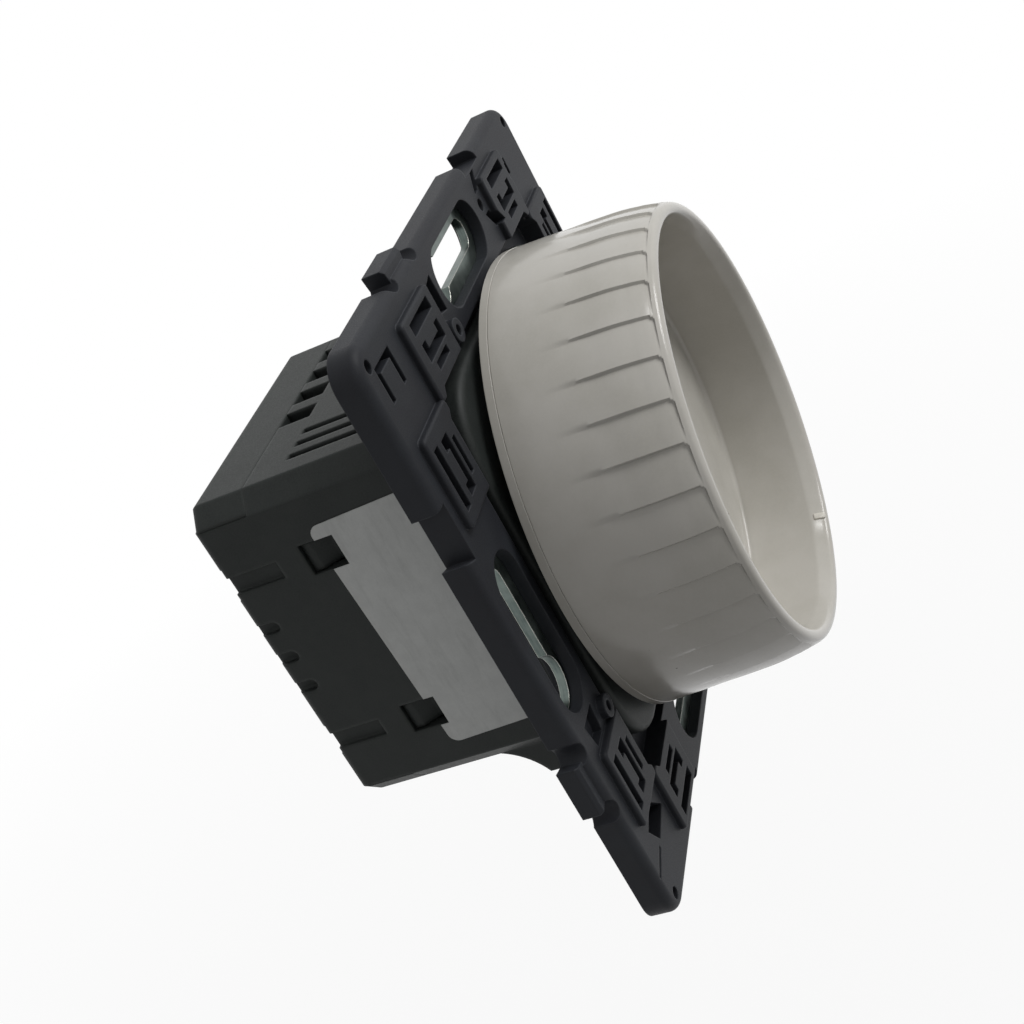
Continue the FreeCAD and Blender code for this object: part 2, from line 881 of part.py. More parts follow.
def knob_shaft():
    shaft = rod(shaft_r, -shaft_front, shaft_rear)
    wide = shaft_r + cut_over
    flat_end = -shaft_front + drive_flat_length
    flat_start = rotor_front - push_travel - flat_run_out
    front_flat = block(flat_at, wide, -shaft_front - cut_over, flat_end, -shaft_r, shaft_r)
    rear_flat = block(flat_at, wide, flat_start, shaft_rear + cut_over, -shaft_r, shaft_r)
    groove = tube(wide, ring_groove_r, ring_front - seat_gap, ring_front + ring_thick + seat_gap)
    return shaft.cut([front_flat, rear_flat, groove])


def shaft_ring():
    # An open retaining ring stops the shaft at the bushing
    back = ring_front + ring_thick
    ring = tube(ring_r, ring_groove_r + seat_gap, ring_front, back)
    half = ring_mouth / 2
    return ring.cut(block(-half, half, ring_front - cut_over, back + cut_over, -ring_r - cut_over, 0))


def hub_spring():
    # A steel leaf in the flat's space grips the shaft in the hub
    x0 = flat_at + seat_gap
    y0 = -shaft_front + hub_spring_inset
    half = hub_spring_width / 2
    return block(x0, x0 + hub_spring_thick, y0, y0 + hub_spring_length, -half, half)


# Potentiometer

def pot_bushing():
    return tube(bushing_r, shaft_r + turn_gap, -cover_front - bushing_reach, pot_front_wall)


def bushing_nut():
    half = nut_flats / 2
    r = nut_flats / sqrt(3)
    points = [(r * cos(pi / 3 * k), r * sin(pi / 3 * k)) for k in range(6)]
    nut = prism(points, -cover_front - nut_thick, -cover_front)
    round_off = rod(half * nut_round, -cover_front - nut_thick, -cover_front)
    return nut.common(round_off).cut(rod(bushing_r + seat_gap, -cover_front - nut_thick - cut_over, 0))


def pot_case():
    half = pot_side / 2
    case = rounded(half, half, pot_corner, cover_back + seat_gap, pot_back)
    room = rod(pot_room_r, pot_front_wall, wafer_back)
    front_hole = rod(bushing_r + seat_gap, cover_back - cut_over, pot_front_wall + cut_over)
    rear_hole = rod(case_hole_r, wafer_back - cut_over, pot_back + cut_over)
    return case.cut([room, front_hole, rear_hole])


def track_wafer():
    return tube(pot_room_r - seat_gap, wafer_hole_r, wafer_front, wafer_back - seat_gap)


def wiper_rotor():
    # The rim runs on the case's front wall, round the shaft's ring
    disc = rod(rotor_r, rotor_front, rotor_back)
    rim = tube(rotor_r, rotor_r - rotor_rim, pot_front_wall + turn_gap, rotor_front)
    rotor = disc.fuse(rim).removeSplitter()
    y0 = rotor_front - cut_over
    return rotor.cut(d_shaft(shaft_r + turn_gap, y0, rotor_back + cut_over, flat_at + turn_gap))


def wiper_contact():
    ring = tube(wiper_r, wiper_in_r, rotor_back, wafer_front - turn_gap)
    half = wiper_mouth / 2
    return ring.cut(block(0, wiper_r + cut_over, rotor_back - cut_over, wafer_front + cut_over, -half, half))


def pot_legs():
    legs = []
    case_z = -pot_side / 2
    low = case_z - leg_out - leg_thick / 2
    half = leg_width / 2
    for k in (-1, 0, 1):
        x = k * leg_pitch
        foot = block(x - half, x + half, wafer_front, wafer_front + leg_thick, low, case_z - seat_gap)
        leg = block(x - half, x + half, wafer_front, leads_back, low, low + leg_thick)
        legs.append(foot.fuse(leg).removeSplitter())
    return legs


# Push switch

def switch_case():
    half = switch_side / 2
    case = rounded(half, half, switch_corner, pot_back + seat_gap, switch_back - seat_gap)
    room = block_at(0, 0, 2 * switch_room, 2 * switch_room, pot_back + switch_wall, switch_back - switch_wall)
    hole = rod(case_hole_r, pot_back - cut_over, pot_back + switch_wall + cut_over)
    return case.cut([room, hole] + blade_slots(switch_back - switch_wall - cut_over, switch_back + cut_over))


def blade_slots(y0, y1):
    width = blade_thick + 2 * seat_gap
    return [block_at(side * blade_at, 0, width, blade_width + 2 * seat_gap, y0, y1) for side in (-1, 1)]


def switch_blades():
    y1 = leads_back
    return [block_at(side * blade_at, 0, blade_thick, blade_width, y1 - blade_length, y1) for side in (-1, 1)]


def switch_plunger():
    head = rod(plunger_r, plunger_front, plunger_back)
    return head.fuse(rod(stem_r, plunger_back - join_over, plunger_back + stem_length)).removeSplitter()


def plunger_spring():
    # A compression spring round the plunger's stem, drawn as long as it is with the knob pressed
    wire_half = spring_wire / 2
    y0 = plunger_back + wire_half + seat_gap
    y1 = switch_back - switch_wall - wire_half - seat_gap - push_travel
    pitch = (y1 - y0) / spring_turns
    helix = Part.makeHelix(pitch, y1 - y0, spring_r)
    circle = Part.Wire(Part.makeCircle(wire_half, V(spring_r, 0, 0), V(0, 1, 0)))
    wire = Part.Wire(helix).makePipeShell([circle], True, True)
    wire.rotate(V(0, 0, 0), V(1, 0, 0), -90)
    wire.translate(V(0, y0, 0))
    return wire


# Circuit board

def lead_places():
    places = []
    for side in (-1, 1):
        for k in (-1, 0, 1):
            places.append((side * transistor_at + k * lead_pitch, transistor_lead_z))
    places += [(side * film_lead_at, -film_out) for side in (-1, 1)]
    places += [(can_x, can_z + side * can_lead_pitch / 2) for side in (-1, 1)]
    places += [(fuse_x, side * fuse_lead_z) for side in (-1, 1)]
    places += [(choke_x, side * choke_lead_at) for side in (-1, 1)]
    return places


def circuit_board():
    half_x = inner_w - board_gap
    half_z = inner_h - board_gap
    board = chamfered(half_x, half_z, body_chamfer, board_front, board_back)
    y0 = board_front - cut_over
    y1 = board_back + cut_over
    gaps = 2 * seat_gap
    cuts = [rod(lead_r + seat_gap, y0, y1, x, z) for x, z in lead_places()] + blade_slots(y0, y1)
    leg_z = -pot_side / 2 - leg_out
    for k in (-1, 0, 1):
        cuts.append(block_at(k * leg_pitch, leg_z, leg_width + gaps, leg_thick + gaps, y0, y1))
    for z in wires:
        cuts.append(block_at(clamp_x, z, clamp_thick + gaps, clamp_width + gaps, y0, y1))
    return board.cut(cuts)


def heat_sink():
    y0 = cover_back + 2 * seat_gap
    plate = block(-sink_width / 2, sink_width / 2, y0, y0 + sink_depth, sink_in, sink_out)
    z0 = sink_in - cut_over
    z1 = sink_out + cut_over
    r = screw_r + seat_gap
    return plate.cut([screw_hole(x, r, z0, z1) for x in (-transistor_at, transistor_at)])


def screw_hole(x, r, z0, z1):
    return Part.makeCylinder(r, z1 - z0, V(x, screw_y, z0), V(0, 0, 1))


def power_transistors():
    parts = []
    half = transistor_width / 2
    tab_in = transistor_out - transistor_tab
    tab_front = transistor_front - transistor_tab_depth
    for x in (-transistor_at, transistor_at):
        body = block(x - half, x + half, transistor_front, transistor_back,
                     transistor_out - transistor_thick, transistor_out)
        plate = block(x - half, x + half, tab_front, transistor_front + join_over, tab_in, transistor_out)
        plate = plate.cut(screw_hole(x, screw_r + seat_gap, 0, sink_in))
        leads = [rod(lead_r, transistor_back - join_over, leads_back, x + k * lead_pitch, transistor_lead_z)
                 for k in (-1, 0, 1)]
        parts.append(body.fuse([plate] + leads).removeSplitter())
    return parts


def transistor_screws():
    screws = []
    low = transistor_out - transistor_tab
    for x in (-transistor_at, transistor_at):
        head = screw_hole(x, screw_head_r, low - screw_head, low)
        screws.append(head.fuse(screw_hole(x, screw_r, low - join_over, sink_out)).removeSplitter())
    return screws


def leads_into_board(places):
    return [rod(lead_r, board_front - seat_gap - join_over, leads_back, x, z) for x, z in places]


def film_capacitor():
    box = block_at(0, -film_out, film_width, film_height, board_front - film_depth, board_front - seat_gap)
    places = [(side * film_lead_at, -film_out) for side in (-1, 1)]
    return box.fuse(leads_into_board(places)).removeSplitter()


def smoothing_capacitor():
    can = rod(can_r, board_front - can_length, board_front - seat_gap, can_x, can_z)
    places = [(can_x, can_z + side * can_lead_pitch / 2) for side in (-1, 1)]
    return can.fuse(leads_into_board(places)).removeSplitter()


def fuse_link():
    y = board_front - fuse_r - seat_gap
    half = fuse_length / 2
    body = Part.makeCylinder(fuse_r, fuse_length, V(fuse_x, y, -half), V(0, 0, 1))
    return body.fuse([fuse_lead(y, side) for side in (-1, 1)]).removeSplitter()


def fuse_lead(y, side):
    # A round wire that leaves the fuse's end and bends down through the board
    start = V(fuse_x, y, side * (fuse_length / 2 - join_over))
    turn = V(fuse_x, y, side * (fuse_length / 2))
    corner = fuse_bend * (1 - sqrt(0.5))
    middle = V(fuse_x, y + corner, side * (fuse_lead_z - corner))
    drop = V(fuse_x, y + fuse_bend, side * fuse_lead_z)
    end = V(fuse_x, leads_back, side * fuse_lead_z)
    bend = Part.Arc(turn, middle, drop).toShape()
    path = Part.Wire([Part.makeLine(start, turn), bend, Part.makeLine(drop, end)])
    circle = Part.Wire(Part.makeCircle(fuse_lead_r, start, V(0, 0, 1)))
    return path.makePipeShell([circle], True, True)


def choke_core():
    y0 = choke_front + choke_wrap
    return tube(choke_core_r, choke_core_in_r, y0, y0 + choke_thick, choke_x, 0)


def choke_winding():
    y0 = choke_front
    y1 = y0 + choke_thick + 2 * choke_wrap
    room_r = choke_core_r + winding_gap
    room_in_r = choke_core_in_r - winding_gap
    room_front = y0 + choke_wrap - winding_gap
    room_back = y1 - choke_wrap + winding_gap
    wrap = tube(choke_core_r + choke_wrap, choke_core_in_r - choke_wrap, y0, y1, choke_x, 0)
    room = tube(room_r, room_in_r, room_front, room_back, choke_x, 0)
    half = choke_mouth / 2
    mouth = block(choke_x, choke_x + 2 * choke_core_r, y0 - cut_over, y1 + cut_over, -half, half)
    leads = [rod(lead_r, board_front + join_over, y0 + choke_wrap / 2, choke_x, side * choke_lead_at)
             for side in (-1, 1)]
    return wrap.cut([room, mouth]).fuse(leads).removeSplitter()


def control_chip():
    return block_at(chip_x, chip_z, chip_width, chip_height, board_back + seat_gap, board_back + chip_thick)


# Terminals

def terminal_block():
    # A block behind the rear cover's wall, with a boss through its window for the three wires
    y0 = terminal_back - terminal_depth
    x0 = -inner_w + snap_gap
    z0 = wires[0] - terminal_margin
    z1 = wires[-1] + terminal_margin
    body = block(x0, x0 + terminal_width, y0, terminal_back, z0, z1)
    body = body.fuse(boss(boss_margin, terminal_back - join_over, boss_back))
    slot_end = clamp_x + clamp_thick / 2 + seat_gap
    half = clamp_width / 2 + seat_gap
    foot_front = clamp_floor - clamp_thick - seat_gap
    cuts = []
    for z in wires:
        cuts.append(rod(wire_r, clamp_floor, boss_back + cut_over, wire_x, z))
        cuts.append(block(wire_x + wire_r - slot_overlap, slot_end, y0 - cut_over, terminal_back - cut_over,
                          z - half, z + half))
        cuts.append(block(wire_x - wire_r, slot_end, foot_front, clamp_floor + join_over, z - half, z + half))
    return body.cut(cuts).removeSplitter()


def terminal_clamps():
    clamps = []
    half = clamp_width / 2
    foot_x = wire_x - wire_r + seat_gap
    y0 = board_front - lead_through
    y1 = back_inner - clamp_short
    for z in wires:
        blade = block_at(clamp_x, z, clamp_thick, clamp_width, y0, y1)
        foot = block(foot_x, clamp_x, clamp_floor - clamp_thick, clamp_floor, z - half, z + half)
        clamps.append(blade.fuse(foot).removeSplitter())
    return clamps


def clamp_springs():
    x1 = clamp_x - clamp_thick / 2 - seat_gap / 2
    x0 = x1 - clamp_spring_thick + seat_gap
    y1 = back_inner - clamp_short - join_over
    half = clamp_width / 2
    return [block(x0, x1, clamp_floor + seat_gap, y1, z - half, z + half) for z in wires]


# Build every piece and write it under its own name

def build():
    os.makedirs("parts", exist_ok=True)
    pieces = {"support_frame": support_frame()}
    for side, shape in zip(("top", "left", "bottom", "right"), on_sides(fixing_plate())):
        pieces["fixing_plate_" + side] = shape
    for make in (front_cover, housing, rear_cover, rating_label, dial_cap, dial_mark, dial_carrier,
                 knob_shaft, shaft_ring, hub_spring, pot_bushing, bushing_nut, pot_case, track_wafer,
                 wiper_rotor, wiper_contact, pot_legs, switch_case, switch_blades, switch_plunger,
                 plunger_spring, circuit_board, heat_sink, power_transistors, transistor_screws,
                 film_capacitor, smoothing_capacitor, fuse_link, choke_core, choke_winding, control_chip,
                 terminal_block, terminal_clamps, clamp_springs):
        shape = make()
        pieces[make.__name__] = Part.makeCompound(shape) if isinstance(shape, list) else shape
    for name, shape in pieces.items():
        print(name, len(shape.Solids), shape.isValid(), round(shape.Volume, 2))
        shape.exportStep("parts/" + name + ".step")


build()
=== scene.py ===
import json
import math

import bmesh
import bpy
from mathutils import Matrix, Vector


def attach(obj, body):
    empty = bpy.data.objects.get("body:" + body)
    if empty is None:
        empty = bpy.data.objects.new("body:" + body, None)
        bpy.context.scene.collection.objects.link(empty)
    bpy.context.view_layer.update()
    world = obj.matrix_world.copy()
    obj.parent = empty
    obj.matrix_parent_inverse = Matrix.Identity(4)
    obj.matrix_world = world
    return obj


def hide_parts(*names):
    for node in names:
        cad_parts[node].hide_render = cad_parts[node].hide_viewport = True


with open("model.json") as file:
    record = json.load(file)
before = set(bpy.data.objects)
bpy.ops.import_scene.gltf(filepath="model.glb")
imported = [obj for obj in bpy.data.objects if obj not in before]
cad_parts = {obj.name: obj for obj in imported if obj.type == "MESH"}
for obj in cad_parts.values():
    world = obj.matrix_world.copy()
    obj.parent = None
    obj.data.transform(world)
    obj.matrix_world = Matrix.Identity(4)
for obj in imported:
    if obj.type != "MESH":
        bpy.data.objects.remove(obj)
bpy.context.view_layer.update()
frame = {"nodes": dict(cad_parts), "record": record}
nodes = frame["nodes"]
mm = 0.001
print("frame loaded:", len(nodes), "nodes")


# Colour and node helpers

def srgb(code):
    parts = [int(code[i:i + 2], 16) / 255 for i in (1, 3, 5)]
    return [p / 12.92 if p <= 0.04045 else ((p + 0.055) / 1.055) ** 2.4 for p in parts] + [1.0]


def addNode(tree, kind, inputs=None, **settings):
    # An input goes by its socket's name, or by its number where sockets share a name
    node = tree.nodes.new(kind)
    for name, value in settings.items():
        setattr(node, name, value)
    for name, value in (inputs or {}).items():
        if isinstance(value, bpy.types.NodeSocket):
            tree.links.new(value, node.inputs[name])
        else:
            node.inputs[name].default_value = value
    return node


# Every finish is built alike: two tones in soft clouds, a fine grain in gloss and relief, and edges mixed
# towards a paler colour, a painted highlight where the tool's radius would catch the light (on the laminate
# also the pale colour of its cut edges, on the label a greyer edge). Lengths are in millimetres. The real
# grains and streaks are 0.02 to 0.06 mm wide, too fine to show, so each "grain" is drawn two to five times
# as coarse.

def makeFinish(name, look):
    mat = bpy.data.materials.new(name)
    mat.use_nodes = True
    tree = mat.node_tree
    shader = tree.nodes["Principled BSDF"]
    place = addNode(tree, "ShaderNodeTexCoord").outputs["Object"]
    drawn = addNode(tree, "ShaderNodeMapping", {
        "Vector": place, "Scale": look.get("stretch", (1, 1, 1))}).outputs[0]
    cloud = addNode(tree, "ShaderNodeTexNoise", {
        "Vector": place, "Scale": 1 / (look["cloud"] * mm), "Detail": 4.0, "Roughness": 0.6}).outputs[0]
    grain = addNode(tree, "ShaderNodeTexNoise", {
        "Vector": drawn, "Scale": 1 / (look["grain"] * mm), "Detail": 2.0, "Roughness": 0.5}).outputs[0]
    share = addNode(tree, "ShaderNodeMapRange", {
        "Value": cloud, "From Min": 0.38, "From Max": 0.62}).outputs[0]
    tone = addNode(tree, "ShaderNodeMix", {0: share, 6: srgb(look["colour"]), 7: srgb(look["shade"])},
                   data_type="RGBA").outputs[2]
    share = addNode(tree, "ShaderNodeMapRange", {
        "Value": grain, "From Min": 0.35, "From Max": 0.65, "To Max": look["fleck"]}).outputs[0]
    tone = addNode(tree, "ShaderNodeMix", {0: share, 6: tone, 7: srgb(look["grainColour"])},
                   data_type="RGBA").outputs[2]
    # Where the rounded normal leaves the flat one there is an edge; there the colour is mixed towards the
    # edge colour, a painted highlight
    rounded = addNode(tree, "ShaderNodeBevel", {"Radius": look["edge"] * mm}, samples=6).outputs[0]
    flat = addNode(tree, "ShaderNodeNewGeometry").outputs["Normal"]
    facing = addNode(tree, "ShaderNodeVectorMath", {0: rounded, 1: flat},
                     operation="DOT_PRODUCT").outputs["Value"]
    share = addNode(tree, "ShaderNodeMapRange", {
        "Value": facing, "From Min": 0.98, "From Max": 0.78, "To Max": look["edgeHighlightAndTintShare"]}).outputs[0]
    tone = addNode(tree, "ShaderNodeMix", {0: share, 6: tone, 7: srgb(look["edgeHighlightAndTint"])},
                   data_type="RGBA").outputs[2]
    relief = addNode(tree, "ShaderNodeBump", {
        "Strength": look["relief"], "Distance": look["height"] * mm, "Height": grain,
        "Normal": rounded}).outputs[0]
    smooth, dull = look["rough"]
    gloss = addNode(tree, "ShaderNodeMapRange", {
        "Value": grain, "From Min": 0.3, "From Max": 0.7, "To Min": smooth, "To Max": dull}).outputs[0]
    tree.links.new(tone, shader.inputs["Base Color"])
    tree.links.new(gloss, shader.inputs["Roughness"])
    tree.links.new(relief, shader.inputs["Normal"])
    shader.inputs["Metallic"].default_value = look.get("metallic", 0.0)
    shader.inputs["Specular IOR Level"].default_value = look.get("shine", 0.5)
    if "ior" in look:
        shader.inputs["IOR"].default_value = look["ior"]
    return mat, (shader, tree, place, tone)


# Glass-filled polycarbonate, moulded in a spark-eroded tool: charcoal, slightly bluish and matt, with a
# fine sandy grain, and thin painted highlights on the edges
frameLook = {
    "colour": "#26282c", "shade": "#212226", "grainColour": "#35373b", "fleck": 0.2, "cloud": 6,
    "grain": 0.16, "edge": 0.25, "edgeHighlightAndTintShare": 0.3, "edgeHighlightAndTint": "#5c5f64", "rough": (0.45, 0.62),
    "relief": 0.25, "height": 0.02, "ior": 1.58, "shine": 0.12,
}

# Flame-retardant polycarbonate blend, eroded tool: near black with a greenish grey cast and a dusty sheen
bodyLook = {
    "colour": "#272a29", "shade": "#202322", "grainColour": "#383c3a", "fleck": 0.3, "cloud": 5,
    "grain": 0.18, "edge": 0.6, "edgeHighlightAndTintShare": 0.25, "edgeHighlightAndTint": "#4d524f", "rough": (0.45, 0.62),
    "relief": 0.25, "height": 0.02, "ior": 1.58, "shine": 0.15,
}

# Zinc-plated steel strip, rolled, punched and plated: greenish grey with faint clouds, and painted
# highlights on the sheared edges
zincLook = {
    "colour": "#6f7975", "shade": "#525c59", "grainColour": "#87908b", "fleck": 0.3, "cloud": 3,
    "grain": 0.25, "stretch": (0.12, 1, 0.12), "edge": 0.12, "edgeHighlightAndTintShare": 1.0, "edgeHighlightAndTint": "#dcdcd4",
    "rough": (0.3, 0.42), "relief": 0.03, "height": 0.01, "metallic": 1.0,
}

# Polyester film with an adhesive back, coated and die-cut: soft white, slightly glossy, with grey
# handling marks
labelLook = {
    "colour": "#dfe1df", "shade": "#d8dad8", "grainColour": "#c4c7c4", "fleck": 0.1, "cloud": 2.2,
    "grain": 0.25, "edge": 0.1, "edgeHighlightAndTintShare": 0.5, "edgeHighlightAndTint": "#cccecb", "rough": (0.42, 0.6),
    "relief": 0.2, "height": 0.01, "shine": 0.2,
}

# ABS in a warm white, moulded in a polished tool: semi-gloss and even, with faint flow clouds
knobLook = {
    "colour": "#c1beb7", "shade": "#b9b6ae", "grainColour": "#cbc8c1", "fleck": 0.12, "cloud": 9,
    "grain": 0.3, "edge": 0.12, "edgeHighlightAndTintShare": 0.35, "edgeHighlightAndTint": "#dedcd4", "rough": (0.14, 0.2),
    "relief": 0.02, "height": 0.01, "ior": 1.53, "shine": 0.3,
}

# Filled paint line, wiped into its groove: a paler, chalky white
markLook = {
    "colour": "#dedbd2", "shade": "#d3cfc5", "grainColour": "#c4c0b6", "fleck": 0.2, "cloud": 0.8,
    "grain": 0.1, "edge": 0.08, "edgeHighlightAndTintShare": 0.2, "edgeHighlightAndTint": "#eeece6", "rough": (0.5, 0.7),
    "relief": 0.2, "height": 0.01,
}

# Tinned brass, stamped: pale yellow metal with a dull tin haze
brassLook = {
    "colour": "#c6a763", "shade": "#b39250", "grainColour": "#d9cba2", "fleck": 0.4, "cloud": 1.5,
    "grain": 0.1, "edge": 0.08, "edgeHighlightAndTintShare": 0.5, "edgeHighlightAndTint": "#e6d3a0", "rough": (0.25, 0.42),
    "relief": 0.1, "height": 0.01, "metallic": 1.0,
}

# Blank spring steel, rolled hard: cold grey with fine streaks
springLook = {
    "colour": "#9c9c9a", "shade": "#868684", "grainColour": "#b8b8b5", "fleck": 0.4, "cloud": 1.2,
    "grain": 0.08, "stretch": (1, 0.15, 1), "edge": 0.06, "edgeHighlightAndTintShare": 0.4, "edgeHighlightAndTint": "#d0d0cc",
    "rough": (0.25, 0.38), "relief": 0.1, "height": 0.005, "metallic": 1.0,
}

# Black epoxy moulding compound, transfer moulded: soot black and matt with a gritty surface
resinLook = {
    "colour": "#1b1c1d", "shade": "#151617", "grainColour": "#303133", "fleck": 0.3, "cloud": 1.5,
    "grain": 0.12, "edge": 0.1, "edgeHighlightAndTintShare": 0.35, "edgeHighlightAndTint": "#4a4b4c", "rough": (0.5, 0.7),
    "relief": 0.3, "height": 0.01, "ior": 1.55,
}

# Glass cloth laminate under green solder mask: dark green and glossy, with pale cut edges. Its grain
# has the real width of the cloth's threads.
laminateLook = {
    "colour": "#1f4a2c", "shade": "#1a3f26", "grainColour": "#2e5f3a", "fleck": 0.4, "cloud": 2,
    "grain": 0.5, "edge": 0.1, "edgeHighlightAndTintShare": 0.6, "edgeHighlightAndTint": "#8d9a5e", "rough": (0.25, 0.4),
    "relief": 0.15, "height": 0.02, "ior": 1.55,
}

# Natural polyamide, moulded: milky and waxy
nylonLook = {
    "colour": "#cfcab8", "shade": "#c3bda9", "grainColour": "#dcd8c9", "fleck": 0.2, "cloud": 2,
    "grain": 0.2, "edge": 0.1, "edgeHighlightAndTintShare": 0.3, "edgeHighlightAndTint": "#e6e2d4", "rough": (0.4, 0.55),
    "relief": 0.1, "height": 0.01, "ior": 1.53,
}

# Mill-finish aluminium sheet, rolled and sheared: pale grey with fine rolling lines
aluminiumLook = {
    "colour": "#b7b9bb", "shade": "#a5a7a9", "grainColour": "#cbcdce", "fleck": 0.4, "cloud": 2,
    "grain": 0.1, "stretch": (0.1, 1, 1), "edge": 0.1, "edgeHighlightAndTintShare": 0.5, "edgeHighlightAndTint": "#dddedf",
    "rough": (0.28, 0.42), "relief": 0.12, "height": 0.01, "metallic": 1.0,
}

# Yellow potting epoxy, cast in a moulded box: smooth and slightly waxy
epoxyLook = {
    "colour": "#c9932f", "shade": "#b98426", "grainColour": "#d9a94e", "fleck": 0.2, "cloud": 2,
    "grain": 0.2, "edge": 0.15, "edgeHighlightAndTintShare": 0.3, "edgeHighlightAndTint": "#e2c27c", "rough": (0.3, 0.42),
    "relief": 0.1, "height": 0.01, "ior": 1.55,
}

# Fired ceramic, extruded and unglazed: chalky off-white
ceramicLook = {
    "colour": "#cfcabf", "shade": "#c2bcb0", "grainColour": "#a9a499", "fleck": 0.25, "cloud": 1.5,
    "grain": 0.12, "edge": 0.1, "edgeHighlightAndTintShare": 0.2, "edgeHighlightAndTint": "#dedad0", "rough": (0.7, 0.85),
    "relief": 0.3, "height": 0.01,
}

# Ferrite, pressed, sintered and tumbled: dark grey and dense, with a slight sparkle
ferriteLook = {
    "colour": "#2b2b2d", "shade": "#222224", "grainColour": "#4b4b4e", "fleck": 0.4, "cloud": 1.5,
    "grain": 0.1, "edge": 0.2, "edgeHighlightAndTintShare": 0.4, "edgeHighlightAndTint": "#5b5b5e", "rough": (0.45, 0.65),
    "relief": 0.3, "height": 0.01,
}

# Copper wire, drawn and enamelled: red brown under clear varnish
copperLook = {
    "colour": "#9c5332", "shade": "#8a4527", "grainColour": "#b9714b", "fleck": 0.4, "cloud": 1,
    "grain": 0.1, "edge": 0.1, "edgeHighlightAndTintShare": 0.3, "edgeHighlightAndTint": "#c98a63", "rough": (0.25, 0.35),
    "relief": 0.1, "height": 0.01, "metallic": 0.9,
}

finishes = {
    "frame_plastic": ("erodedPolycarbonate", frameLook),
    "body_plastic": ("blackPolycarbonate", bodyLook),
    "zinc_steel": ("zincPlatedSteel", zincLook),
    "spring_steel": ("blankSpringSteel", springLook),
    "label_film": ("wornLabelFilm", labelLook),
    "knob_plastic": ("warmWhiteAbs", knobLook),
    "mark_paint": ("chalkyFillPaint", markLook),
    "brass": ("tinnedBrass", brassLook),
    "black_resin": ("epoxyMouldingCompound", resinLook),
    "laminate": ("glassClothLaminate", laminateLook),
    "nylon": ("naturalPolyamide", nylonLook),
    "aluminium": ("millAluminium", aluminiumLook),
    "film_epoxy": ("yellowPottingEpoxy", epoxyLook),
    "ceramic": ("firedCeramic", ceramicLook),
    "ferrite": ("sinteredFerrite", ferriteLook),
    "copper": ("enamelledCopper", copperLook),
}
materials = {}
finishParts = {}  # what a finish's further layers start from
for slotName, (materialName, look) in finishes.items():
    materials[slotName], finishParts[slotName] = makeFinish(materialName, look)


# Dust on the knob, and painted shade in the flutes: dust specks about 0.2 mm across and a few millimetres
# apart, and a darker colour in the corners of the flutes, a painted shade where less light reaches. A
# speck's size is a share of the spacing, and its core a share of the size.
dustAndCornerShade = {
    "spacing": 5.5, "size": 0.022, "core": 0.6, "colour": "#5a564d",
    "cornerShadeReach": 0.9, "cornerShadeColour": "#77736a", "cornerShadeShare": 0.4,
}


def addDustAndCornerShade():
    shader, tree, place, tone = finishParts["knob_plastic"]
    # Painted shade: the colour darkens where ambient occlusion finds the flutes' corners hollow
    corner = addNode(tree, "ShaderNodeAmbientOcclusion", {"Distance": dustAndCornerShade["cornerShadeReach"] * mm}, samples=8,
                     only_local=True).outputs["AO"]
    share = addNode(tree, "ShaderNodeMapRange", {
        "Value": corner, "From Min": 0.94, "From Max": 0.55, "To Max": dustAndCornerShade["cornerShadeShare"]}).outputs[0]
    tone = addNode(tree, "ShaderNodeMix", {0: share, 6: tone, 7: srgb(dustAndCornerShade["cornerShadeColour"])},
                   data_type="RGBA").outputs[2]
    away = addNode(tree, "ShaderNodeTexVoronoi", {
        "Vector": place, "Scale": 1 / (dustAndCornerShade["spacing"] * mm)}).outputs["Distance"]
    share = addNode(tree, "ShaderNodeMapRange", {
        "Value": away, "From Min": dustAndCornerShade["size"], "From Max": dustAndCornerShade["size"] * dustAndCornerShade["core"]}).outputs[0]
    tone = addNode(tree, "ShaderNodeMix", {0: share, 6: tone, 7: srgb(dustAndCornerShade["colour"])},
                   data_type="RGBA").outputs[2]
    tree.links.new(tone, shader.inputs["Base Color"])


# The label's handling marks: faint grey scuffs, in millimetres, drawn out along the label
scuffs = {"length": 6.0, "width": 1.2, "strength": 0.18, "colour": "#8b8f8c"}


def addScuffs():
    shader, tree, place, tone = finishParts["label_film"]
    drawn = addNode(tree, "ShaderNodeMapping", {
        "Vector": place, "Scale": (1, scuffs["length"] / scuffs["width"], 1)}).outputs[0]
    cloud = addNode(tree, "ShaderNodeTexNoise", {
        "Vector": drawn, "Scale": 1 / (scuffs["length"] * mm), "Detail": 6.0, "Roughness": 0.7}).outputs[0]
    share = addNode(tree, "ShaderNodeMapRange", {
        "Value": cloud, "From Min": 0.5, "From Max": 0.72, "To Max": scuffs["strength"]}).outputs[0]
    tone = addNode(tree, "ShaderNodeMix", {0: share, 6: tone, 7: srgb(scuffs["colour"])},
                   data_type="RGBA").outputs[2]
    tree.links.new(tone, shader.inputs["Base Color"])


addDustAndCornerShade()
addScuffs()

# Every CAD node takes the finish of its slot
slotOf = {entry["node"]: entry["material_slot"] for entry in frame["record"]["subparts"]}
for nodeName, slotName in slotOf.items():
    obj = nodes[nodeName]
    obj.data.materials.clear()
    obj.data.materials.append(materials[slotName])
print("materials made:", len(materials))


# Pieces

def newPiece(name, bm, body, slotName, replaced, sharp):
    mesh = bpy.data.meshes.new(name)
    bmesh.ops.remove_doubles(bm, verts=bm.verts, dist=0.001 * mm)
    bmesh.ops.recalc_face_normals(bm, faces=bm.faces)
    for face in bm.faces:
        face.smooth = True
    bm.to_mesh(mesh)
    bm.free()
    mesh.set_sharp_from_angle(angle=math.radians(sharp))
    mesh.materials.append(materials[slotName])
    obj = bpy.data.objects.new(name, mesh)
    bpy.context.collection.objects.link(obj)
    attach(obj, body)
    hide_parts(replaced)
    return obj


